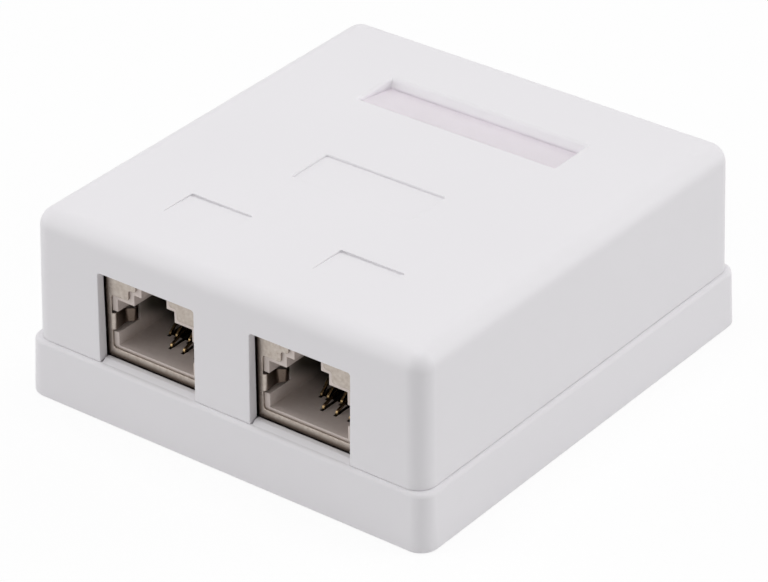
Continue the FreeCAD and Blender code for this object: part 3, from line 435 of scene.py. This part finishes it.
def moulded_polycarbonate():
    """Ivory polycarbonate: the bodies of the punch-down strips."""
    material, tree = new_material("ivory_polycarbonate")
    place = add_node(tree, "ShaderNodeTexCoord").outputs["Object"]
    # A polished tool gives a closed, slightly glossy skin with a faint flow shade.
    flow = add_node(tree, "ShaderNodeTexNoise", {
        "Vector": place, "Scale": per_metre(3), "Detail": 2.0,
    })
    tint = add_node(tree, "ShaderNodeMix", {
        "Factor": flow.outputs["Fac"], "A": colour("E6E3D8"), "B": colour("DDD9CC"),
    }, data_type="RGBA")
    bump = add_node(tree, "ShaderNodeBump", {
        "Height": flow.outputs["Fac"], "Strength": 0.15, "Distance": 0.02 * MM,
    })
    shader = add_node(tree, "ShaderNodeBsdfPrincipled", {
        "Base Color": tint.outputs["Result"], "Roughness": 0.32,
        "Normal": bump.outputs["Normal"], "IOR": 1.585,
    })
    add_node(tree, "ShaderNodeOutputMaterial", {"Surface": shader.outputs["BSDF"]})
    return material


def tinned_bronze():
    """Phosphor bronze, tin plated and blanked: the cutting blades."""
    material, tree = new_material("tinned_bronze_blade")
    place = add_node(tree, "ShaderNodeTexCoord").outputs["Object"]
    # Matte tin has a cloudy bloom about a millimetre across.
    bloom = add_node(tree, "ShaderNodeTexNoise", {
        "Vector": place, "Scale": per_metre(1.1), "Detail": 2.0,
    })
    tint = add_node(tree, "ShaderNodeMix", {
        "Factor": bloom.outputs["Fac"], "A": colour("D2D1CD"), "B": colour("BBB9B3"),
    }, data_type="RGBA")
    gloss = add_node(tree, "ShaderNodeMapRange", {
        "Value": bloom.outputs["Fac"], "To Min": 0.3, "To Max": 0.45,
    })
    shader = add_node(tree, "ShaderNodeBsdfPrincipled", {
        "Base Color": tint.outputs["Result"], "Metallic": 1.0, "Roughness": gloss.outputs["Result"],
    })
    add_node(tree, "ShaderNodeOutputMaterial", {"Surface": shader.outputs["BSDF"]})
    return material


def tinned_steel():
    """Cold rolled steel sheet, tinned: the earthing plate and the cable clamps."""
    material, tree = new_material("tinned_steel_sheet")
    place = add_node(tree, "ShaderNodeTexCoord").outputs["Object"]
    # Cold rolling leaves lines along the sheet, drawn at 0.2 mm, under a cloudy layer of tin.
    along = add_node(tree, "ShaderNodeMapping", {"Vector": place, "Scale": (SHEET_ROLLING, 1, 1)})
    lines = add_node(tree, "ShaderNodeTexNoise", {
        "Vector": along.outputs["Vector"], "Scale": per_metre(0.2), "Detail": 2.0,
    })
    bloom = add_node(tree, "ShaderNodeTexNoise", {
        "Vector": place, "Scale": per_metre(2.5), "Detail": 2.0,
    })
    tint = add_node(tree, "ShaderNodeMix", {
        "Factor": bloom.outputs["Fac"], "A": colour("CFCFCE"), "B": colour("B6B6B5"),
    }, data_type="RGBA")
    gloss = add_node(tree, "ShaderNodeMapRange", {
        "Value": lines.outputs["Fac"], "To Min": 0.24, "To Max": 0.42,
    })
    bump = add_node(tree, "ShaderNodeBump", {
        "Height": lines.outputs["Fac"], "Strength": 0.15, "Distance": 0.01 * MM,
    })
    shader = add_node(tree, "ShaderNodeBsdfPrincipled", {
        "Base Color": tint.outputs["Result"], "Metallic": 1.0,
        "Roughness": gloss.outputs["Result"], "Normal": bump.outputs["Normal"],
    })
    add_node(tree, "ShaderNodeOutputMaterial", {"Surface": shader.outputs["BSDF"]})
    return material


def zinc_plated_steel():
    """Screw steel, cold headed, zinc plated and blue passivated."""
    material, tree = new_material("blue_passivated_zinc")
    place = add_node(tree, "ShaderNodeTexCoord").outputs["Object"]
    # The passivation gives a faint shift between bluish and straw coloured silver.
    film = add_node(tree, "ShaderNodeTexNoise", {
        "Vector": place, "Scale": per_metre(1.5), "Detail": 1.0,
    })
    tint = add_node(tree, "ShaderNodeMix", {
        "Factor": film.outputs["Fac"], "A": colour("C4CAD2"), "B": colour("CFCBC0"),
    }, data_type="RGBA")
    gloss = add_node(tree, "ShaderNodeMapRange", {
        "Value": film.outputs["Fac"], "To Min": 0.2, "To Max": 0.34,
    })
    shader = add_node(tree, "ShaderNodeBsdfPrincipled", {
        "Base Color": tint.outputs["Result"], "Metallic": 1.0, "Roughness": gloss.outputs["Result"],
    })
    add_node(tree, "ShaderNodeOutputMaterial", {"Surface": shader.outputs["BSDF"]})
    return material


def seen_ray(tree):
    """Socket that is 1 for a ray that the camera, a gloss or clear plastic sends out."""
    path = add_node(tree, "ShaderNodeLightPath")
    direct = add_node(tree, "ShaderNodeMath", {
        0: path.outputs["Is Camera Ray"], 1: path.outputs["Is Glossy Ray"],
    }, operation="MAXIMUM")
    seen = add_node(tree, "ShaderNodeMath", {
        0: direct.outputs["Value"], 1: path.outputs["Is Transmission Ray"],
    }, operation="MAXIMUM")
    return seen.outputs["Value"]


def white_sweep():
    """White paper sweep under the box."""
    settings = bpy.context.scene.jack_box_studio
    material, tree = new_material("white_paper_sweep")
    # The paper is lit until it looks plain white, and a trace of the box's soft shadow is left on it.
    paper = add_node(tree, "ShaderNodeBsdfDiffuse", {"Color": colour("F7F7F7")})
    white = add_node(tree, "ShaderNodeEmission", {"Color": colour("FFFFFF"), "Strength": 1.0})
    share = add_node(tree, "ShaderNodeMath", {0: seen_ray(tree), 1: settings.floor_lift},
                     operation="MULTIPLY")
    mixed = add_node(tree, "ShaderNodeMixShader", {
        "Fac": share.outputs["Value"], 1: paper.outputs["BSDF"], 2: white.outputs["Emission"],
    })
    add_node(tree, "ShaderNodeOutputMaterial", {"Surface": mixed.outputs["Shader"]})
    return material


def dress_node(node, material):
    """Give a CAD node its finish."""
    slots = frame["nodes"][node].data.materials
    slots.clear()
    slots.append(material)


def room_beside(edge):
    """Mean width of the narrower of the two faces that meet at an edge."""
    return min(face.calc_area() for face in edge.link_faces) / edge.calc_length()


def sharp_edges(made):
    """Edges where two faces meet at more than the sharp angle."""
    return [edge for edge in made.edges
            if edge.is_manifold and edge.calc_face_angle() > SHARP_ANGLE]


def ease(made, edges, width, segments):
    """Round those edges by that width, in that many steps."""
    bmesh.ops.bevel(made, geom=edges, offset=width, offset_type="OFFSET", segments=segments,
                    profile=0.5, affect="EDGES", clamp_overlap=False, material=-1)


def eased_piece(node, name, width, material, rims=()):
    """Copy of a CAD node with its rims and sharp edges rounded, which is shown in its place."""
    made = bmesh.new()
    made.from_mesh(frame["nodes"][node].data)
    bmesh.ops.remove_doubles(made, verts=made.verts, dist=MERGE_DISTANCE)
    bmesh.ops.dissolve_limit(made, angle_limit=FLAT_ANGLE, verts=made.verts, edges=made.edges)
    top = max(vert.co.z for vert in made.verts)
    for front, rear, rim_width in rims:
        rim = [edge for edge in sharp_edges(made)
               if all(top - vert.co.z < MERGE_DISTANCE and front < vert.co.y < rear
                      for vert in edge.verts)]
        ease(made, rim, rim_width, RIM_SEGMENTS)
    sharp = sharp_edges(made)
    roomy = [edge for edge in sharp if room_beside(edge) > EASE_ROOM * width]
    for edge in set(sharp) - set(roomy):
        edge.smooth = False
    ease(made, roomy, width, EASE_SEGMENTS)
    for face in made.faces:
        face.smooth = True
    mesh = bpy.data.meshes.new(name)
    made.to_mesh(mesh)
    made.free()
    piece = add_piece(mesh, name, BODY_OF[node], material)
    normals = piece.modifiers.new("flat_faces_stay_flat", "WEIGHTED_NORMAL")
    normals.keep_sharp = True
    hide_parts(node)
    dress_node(node, material)


def add_piece(mesh, name, body, material):
    """Object of a finished mesh that rides on a body."""
    mesh.materials.append(material)
    piece = bpy.data.objects.new(name, mesh)
    bpy.context.scene.collection.objects.link(piece)
    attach(piece, body)
    return piece


class HousingSettings(bpy.types.PropertyGroup):
    edge: FloatProperty(
        name="Eased edge", description="Width of the eased sharp edges of the mouldings",
        default=0.12 * MM, min=0, unit="LENGTH")
    white: FloatVectorProperty(
        name="White", description="Colour of the moulded ABS",
        default=colour("E7E5E8"), size=4, subtype="COLOR")
    white_shade: FloatVectorProperty(
        name="White, shaded", description="The same white where the melt flowed last",
        default=colour("E4E2E5"), size=4, subtype="COLOR")


class JackSettings(bpy.types.PropertyGroup):
    sheet_edge: FloatProperty(
        name="Sheet edge", description="Width of the eased edges of the folded shields",
        default=0.05 * MM, min=0, unit="LENGTH")
    insert_edge: FloatProperty(
        name="Insert edge", description="Width of the eased edges of the moulded inserts",
        default=0.08 * MM, min=0, unit="LENGTH")
    nickel: FloatVectorProperty(
        name="Nickel", description="Colour of the plated shields",
        default=colour("C9C1B9"), size=4, subtype="COLOR")
    nickel_warm: FloatVectorProperty(
        name="Nickel, warm", description="The plating where the alloy shows through",
        default=colour("9C8F84"), size=4, subtype="COLOR")
    # Colour of the shade and dark reflection painted on the folds round the mouth and on the spring
    # leaves.
    fold_shade: FloatVectorProperty(
        name="Painted fold shade", description="The sheet where folding has thinned the plating",
        default=colour("64584F"), size=4, subtype="COLOR")
    insert: FloatVectorProperty(
        name="Insert", description="Colour of the jacks' moulded inserts",
        default=colour("DACFC9"), size=4, subtype="COLOR")
    insert_shade: FloatVectorProperty(
        name="Insert, shaded", description="The same plastic between its flecks",
        default=colour("CEC1BA"), size=4, subtype="COLOR")
    # Colour of the shade painted deep in the jack and in the well under the wires.
    depth_shade: FloatVectorProperty(
        name="Painted depth shade", description="Colour of the rear part that holds the wires",
        default=colour("48423A"), size=4, subtype="COLOR")
    # Under this height shade is painted in the well.
    well_level: FloatProperty(
        name="Well level", description="Height under which the contact well is dark",
        default=10.3 * MM, min=0, unit="LENGTH")


class BoardSettings(bpy.types.PropertyGroup):
    track_width: FloatProperty(
        name="Track width", description="Width of a copper track",
        default=0.45 * MM, min=0, unit="LENGTH")
    track_height: FloatProperty(
        name="Track height", description="How far a track stands out under the mask",
        default=0.04 * MM, min=0, unit="LENGTH")
    mask: FloatVectorProperty(
        name="Solder mask", description="Colour of the mask over bare laminate",
        default=colour("1E5B33"), size=4, subtype="COLOR")
    mask_light: FloatVectorProperty(
        name="Solder mask, light", description="The mask over the threads of the glass cloth",
        default=colour("27693C"), size=4, subtype="COLOR")
    track: FloatVectorProperty(
        name="Track", description="The mask over copper",
        default=colour("357A45"), size=4, subtype="COLOR")


class StudioSettings(bpy.types.PropertyGroup):
    camera_place: FloatVectorProperty(
        name="Camera", description="Place of the camera",
        default=(263.309 * MM, -344.169 * MM, 267.450 * MM), size=3,
        subtype="TRANSLATION", unit="LENGTH")
    azimuth: FloatProperty(
        name="Azimuth", description="How far the view is turned from looking along +Y towards -X",
        default=math.radians(37.483), subtype="ANGLE")
    elevation: FloatProperty(
        name="Elevation", description="How far the camera looks down",
        default=math.radians(30.759), subtype="ANGLE")
    roll: FloatProperty(
        name="Roll", description="Turn of the camera about its line of sight",
        default=math.radians(-0.442), subtype="ANGLE")
    lens: FloatProperty(
        name="Lens", description="Focal length for a sensor 36 mm wide",
        default=185.82, min=1, unit="CAMERA")
    ambient: FloatProperty(
        name="Ambient", description="Level of the even light from all round",
        default=0.34, min=0)
    left_light: FloatProperty(
        name="Left softbox", description="Power of the softbox at the camera's left",
        default=2.05, min=0, unit="POWER")
    right_light: FloatProperty(
        name="Right softbox", description="Power of the softbox at the camera's right",
        default=2.3, min=0, unit="POWER")
    top_light: FloatProperty(
        name="Top softbox", description="Power of the softbox straight above",
        default=4.1, min=0, unit="POWER")
    light_distance: FloatProperty(
        name="Softbox distance", description="From the box to a softbox",
        default=0.9, min=0, unit="LENGTH")
    light_size: FloatProperty(
        name="Softbox size", description="Side of a softbox",
        default=0.55, min=0, unit="LENGTH")
    light_elevation: FloatProperty(
        name="Softbox elevation", description="Height of the two softboxes at the sides above the box",
        default=math.radians(22), subtype="ANGLE")
    floor_size: FloatProperty(
        name="Floor", description="Side of the white paper sweep",
        default=6.0, min=0, unit="LENGTH")
    floor_lift: FloatProperty(
        name="Floor lift", description="Share of plain white that is seen on the sweep",
        default=0.9, min=0, max=1, subtype="FACTOR")


class JACKBOX_OT_housing(bpy.types.Operator):
    """Mouldings of the base and the cover, with eased edges"""
    bl_idname = "jackbox.housing"
    bl_label = "Moulded Housing"

    def execute(self, context):
        width = context.scene.jack_box_housing.edge
        plastic = moulded_abs()
        eased_piece("base", "base_moulding", width, plastic)
        eased_piece("cover", "cover_moulding", width, plastic,
                    rims=(LABEL_RIM, PANEL_RIM))
        return {"FINISHED"}


class JACKBOX_OT_label(bpy.types.Operator):
    """Label card under its clear window"""
    bl_idname = "jackbox.label"
    bl_label = "Label"

    def execute(self, context):
        dress_node("label_window", clear_styrene())
        dress_node("label_card", label_paper())
        return {"FINISHED"}


class JACKBOX_OT_shields(bpy.types.Operator):
    """Folded shields of the jacks"""
    bl_idname = "jackbox.shields"
    bl_label = "Jack Shields"

    def execute(self, context):
        width = context.scene.jack_box_jacks.sheet_edge
        sheet = nickel_sheet()
        for side in SIDES:
            eased_piece("jack_shield_" + side, "folded_shield_" + side, width,
                        sheet)
        return {"FINISHED"}


class JACKBOX_OT_inserts(bpy.types.Operator):
    """Moulded inserts of the jacks"""
    bl_idname = "jackbox.inserts"
    bl_label = "Jack Inserts"

    def execute(self, context):
        width = context.scene.jack_box_jacks.insert_edge
        plastic = moulded_pbt()
        for side in SIDES:
            eased_piece("jack_insert_" + side, "moulded_insert_" + side, width,
                        plastic)
        return {"FINISHED"}


class JACKBOX_OT_contacts(bpy.types.Operator):
    """Gold-plated contact wires of the jacks"""
    bl_idname = "jackbox.contacts"
    bl_label = "Contacts"

    def execute(self, context):
        gold = gold_wire()
        for side in SIDES:
            dress_node("jack_contacts_" + side, gold)
        return {"FINISHED"}


class JACKBOX_OT_board(bpy.types.Operator):
    """Circuit board and the tracks from each jack to its strips"""
    bl_idname = "jackbox.board"
    bl_label = "Circuit Board"

    def execute(self, context):
        settings = context.scene.jack_box_board
        dress_node("circuit_board", masked_laminate())
        copper = masked_copper()
        for side in SIDES:
            mesh = self.tracks(side, settings)
            add_piece(mesh, "tracks_" + side, "base", copper)
        return {"FINISHED"}

    def tracks(self, side, settings):
        """Tracks that fan out from the rear of a jack to the strips behind it."""
        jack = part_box("jack_shield_" + side)
        rear_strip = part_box("punch_strip_" + side + "_rear")
        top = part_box("circuit_board")[1].z - TRACK_SUNK
        middle = (jack[0].x + jack[1].x) / 2
        start = jack[1].y - TRACK_LAP
        bend = jack[1].y + TRACK_LAP / 2
        end = rear_strip[1].y - TRACK_LAP
        made = bmesh.new()
        for index in range(TRACK_COUNT):
            offset = (index - (TRACK_COUNT - 1) / 2) * TRACK_PITCH
            spots = ((middle + offset, start), (middle + offset, bend),
                     (middle + offset * TRACK_FAN, bend + abs(offset) * (TRACK_FAN - 1)),
                     (middle + offset * TRACK_FAN, end))
            self.track(made, spots, top, settings)
        mesh = bpy.data.meshes.new("tracks_" + side)
        made.to_mesh(mesh)
        made.free()
        return mesh

    def track(self, made, spots, top, settings):
        """One flat track through those spots, extruded from edge to edge."""
        half = Vector((settings.track_width / 2, 0, 0))
        first = Vector((*spots[0], top))
        edge = made.edges.new([made.verts.new(first - half), made.verts.new(first + half)])
        faces = []
        for before, after in zip(spots, spots[1:]):
            grown = bmesh.ops.extrude_edge_only(made, edges=[edge])["geom"]
            moved = [item for item in grown if isinstance(item, bmesh.types.BMVert)]
            step = Vector((after[0] - before[0], after[1] - before[1], 0))
            bmesh.ops.translate(made, verts=moved, vec=step)
            faces += [item for item in grown if isinstance(item, bmesh.types.BMFace)]
            edge = next(item for item in grown if isinstance(item, bmesh.types.BMEdge)
                        and all(end in moved for end in item.verts))
        bmesh.ops.recalc_face_normals(made, faces=faces)
        if faces[0].normal.z < 0:
            bmesh.ops.reverse_faces(made, faces=faces)
        raised = bmesh.ops.extrude_face_region(made, geom=faces)["geom"]
        lifted = [item for item in raised if isinstance(item, bmesh.types.BMVert)]
        rise = Vector((0, 0, settings.track_height + TRACK_SUNK))
        bmesh.ops.translate(made, verts=lifted, vec=rise)


class JACKBOX_OT_strips(bpy.types.Operator):
    """Punch-down strips with their blades"""
    bl_idname = "jackbox.strips"
    bl_label = "Punch-down Strips"

    def execute(self, context):
        width = context.scene.jack_box_housing.edge
        plastic = moulded_polycarbonate()
        metal = tinned_bronze()
        for side in SIDES:
            for row in ROWS:
                place = side + "_" + row
                eased_piece("punch_strip_" + place, "strip_body_" + place, width,
                            plastic)
                dress_node("strip_blades_" + place, metal)
        return {"FINISHED"}


class JACKBOX_OT_earthing(bpy.types.Operator):
    """Earthing plate and cable clamps"""
    bl_idname = "jackbox.earthing"
    bl_label = "Earthing Plate and Clamps"

    def execute(self, context):
        width = context.scene.jack_box_jacks.sheet_edge
        sheet = tinned_steel()
        dress_node("earthing_plate", sheet)
        for side in SIDES:
            eased_piece("cable_clamp_" + side, "saddle_clamp_" + side, width,
                        sheet)
        return {"FINISHED"}


class JACKBOX_OT_screws(bpy.types.Operator):
    """Screws of the board and of the clamps"""
    bl_idname = "jackbox.screws"
    bl_label = "Screws"

    def execute(self, context):
        width = context.scene.jack_box_housing.edge
        steel = zinc_plated_steel()
        for held in ("board", "clamp"):
            eased_piece(held + "_screws", held + "_fixing_screws", width, steel)
        return {"FINISHED"}


class JACKBOX_OT_stage(bpy.types.Operator):
    """White floor, camera, softboxes and even light"""
    bl_idname = "jackbox.stage"
    bl_label = "Stage"

    def execute(self, context):
        settings = context.scene.jack_box_studio
        self.floor(context, settings)
        self.camera(context, settings)
        # Two softboxes stand square to the line of sight, so the corner towards the camera is darkest.
        facing = settings.azimuth
        square = math.pi / 2
        low = settings.light_elevation
        self.softbox(context, settings, "softbox_left", facing - square, low, settings.left_light)
        self.softbox(context, settings, "softbox_right", facing + square, low, settings.right_light)
        self.softbox(context, settings, "softbox_top", facing, square, settings.top_light)
        self.world(context, settings)
        context.scene.view_settings.view_transform = "Standard"
        return {"FINISHED"}

    def floor(self, context, settings):
        """Sheet of paper under the box."""
        made = bmesh.new()
        bmesh.ops.create_grid(made, x_segments=1, y_segments=1, size=settings.floor_size / 2)
        mesh = bpy.data.meshes.new("paper_sweep")
        made.to_mesh(mesh)
        made.free()
        mesh.materials.append(white_sweep())
        sweep = bpy.data.objects.new("paper_sweep", mesh)
        context.scene.collection.objects.link(sweep)

    def camera(self, context, settings):
        """Camera at its place, looking along its azimuth and down by its elevation."""
        turn = settings.azimuth
        tilt = settings.elevation
        roll = settings.roll
        ahead = Vector((-math.sin(turn), math.cos(turn), 0))
        forward = ahead * math.cos(tilt) - Vector((0, 0, math.sin(tilt)))
        level = Vector((math.cos(turn), math.sin(turn), 0))
        upright = level.cross(forward)
        right = level * math.cos(roll) + upright * math.sin(roll)
        up = upright * math.cos(roll) - level * math.sin(roll)
        data = bpy.data.cameras.new("photo_camera")
        data.sensor_width = SENSOR_WIDTH
        data.lens = settings.lens
        camera = bpy.data.objects.new("photo_camera", data)
        axes = Matrix((right, up, -forward)).transposed().to_4x4()
        camera.matrix_world = Matrix.Translation(settings.camera_place) @ axes
        context.scene.collection.objects.link(camera)
        context.scene.camera = camera

    def softbox(self, context, settings, name, azimuth, tilt, power):
        """Square light that faces the box from that azimuth, as seen from above, and that elevation."""
        outward = Vector((math.sin(azimuth), -math.cos(azimuth), 0))
        away = outward * math.cos(tilt) + Vector((0, 0, math.sin(tilt)))
        data = bpy.data.lights.new(name, "AREA")
        data.shape = "SQUARE"
        data.size = settings.light_size
        data.energy = power
        light = bpy.data.objects.new(name, data)
        light.location = away * settings.light_distance
        light.rotation_euler = away.to_track_quat("Z", "Y").to_euler()
        context.scene.collection.objects.link(light)

    def world(self, context, settings):
        """Even light from all round, seen as plain white."""
        world = bpy.data.worlds.new("even_studio_light")
        world.use_nodes = True
        tree = world.node_tree
        tree.nodes.clear()
        around = add_node(tree, "ShaderNodeBackground", {
            "Color": colour("FFFFFF"), "Strength": settings.ambient,
        })
        white = add_node(tree, "ShaderNodeBackground", {"Color": colour("FFFFFF"), "Strength": 1.0})
        mixed = add_node(tree, "ShaderNodeMixShader", {
            "Fac": seen_ray(tree), 1: around.outputs["Background"], 2: white.outputs["Background"],
        })
        add_node(tree, "ShaderNodeOutputWorld", {"Surface": mixed.outputs["Shader"]})
        context.scene.world = world


class JACKBOX_PT_panel(bpy.types.Panel):
    """Settings and steps of the jack box"""
    bl_idname = "JACKBOX_PT_panel"
    bl_label = "Jack Box"
    bl_space_type = "VIEW_3D"
    bl_region_type = "UI"
    bl_category = "Jack Box"

    def draw(self, context):
        for step in STEPS:
            self.layout.operator(step.bl_idname)
        for name in GROUPS:
            group = getattr(context.scene, name)
            column = self.layout.column(heading=group.bl_rna.name)
            for prop in group.__annotations__:
                column.prop(group, prop)


GROUPS = {
    "jack_box_housing": HousingSettings,
    "jack_box_jacks": JackSettings,
    "jack_box_board": BoardSettings,
    "jack_box_studio": StudioSettings,
}
STEPS = (
    JACKBOX_OT_stage,
    JACKBOX_OT_housing,
    JACKBOX_OT_label,
    JACKBOX_OT_shields,
    JACKBOX_OT_inserts,
    JACKBOX_OT_contacts,
    JACKBOX_OT_board,
    JACKBOX_OT_strips,
    JACKBOX_OT_earthing,
    JACKBOX_OT_screws,
)


def register():
    for kind in (*GROUPS.values(), *STEPS, JACKBOX_PT_panel):
        bpy.utils.register_class(kind)
    for name, kind in GROUPS.items():
        setattr(bpy.types.Scene, name, PointerProperty(type=kind))


def unregister():
    for name in GROUPS:
        delattr(bpy.types.Scene, name)
    for kind in (JACKBOX_PT_panel, *reversed(STEPS), *reversed(GROUPS.values())):
        bpy.utils.unregister_class(kind)


def main():
    register()
    bpy.ops.jackbox.stage()
    bpy.ops.jackbox.housing()
    bpy.ops.jackbox.label()
    bpy.ops.jackbox.shields()
    bpy.ops.jackbox.inserts()
    bpy.ops.jackbox.contacts()
    bpy.ops.jackbox.board()
    bpy.ops.jackbox.strips()
    bpy.ops.jackbox.earthing()
    bpy.ops.jackbox.screws()


if __name__ == "__main__":
    main()
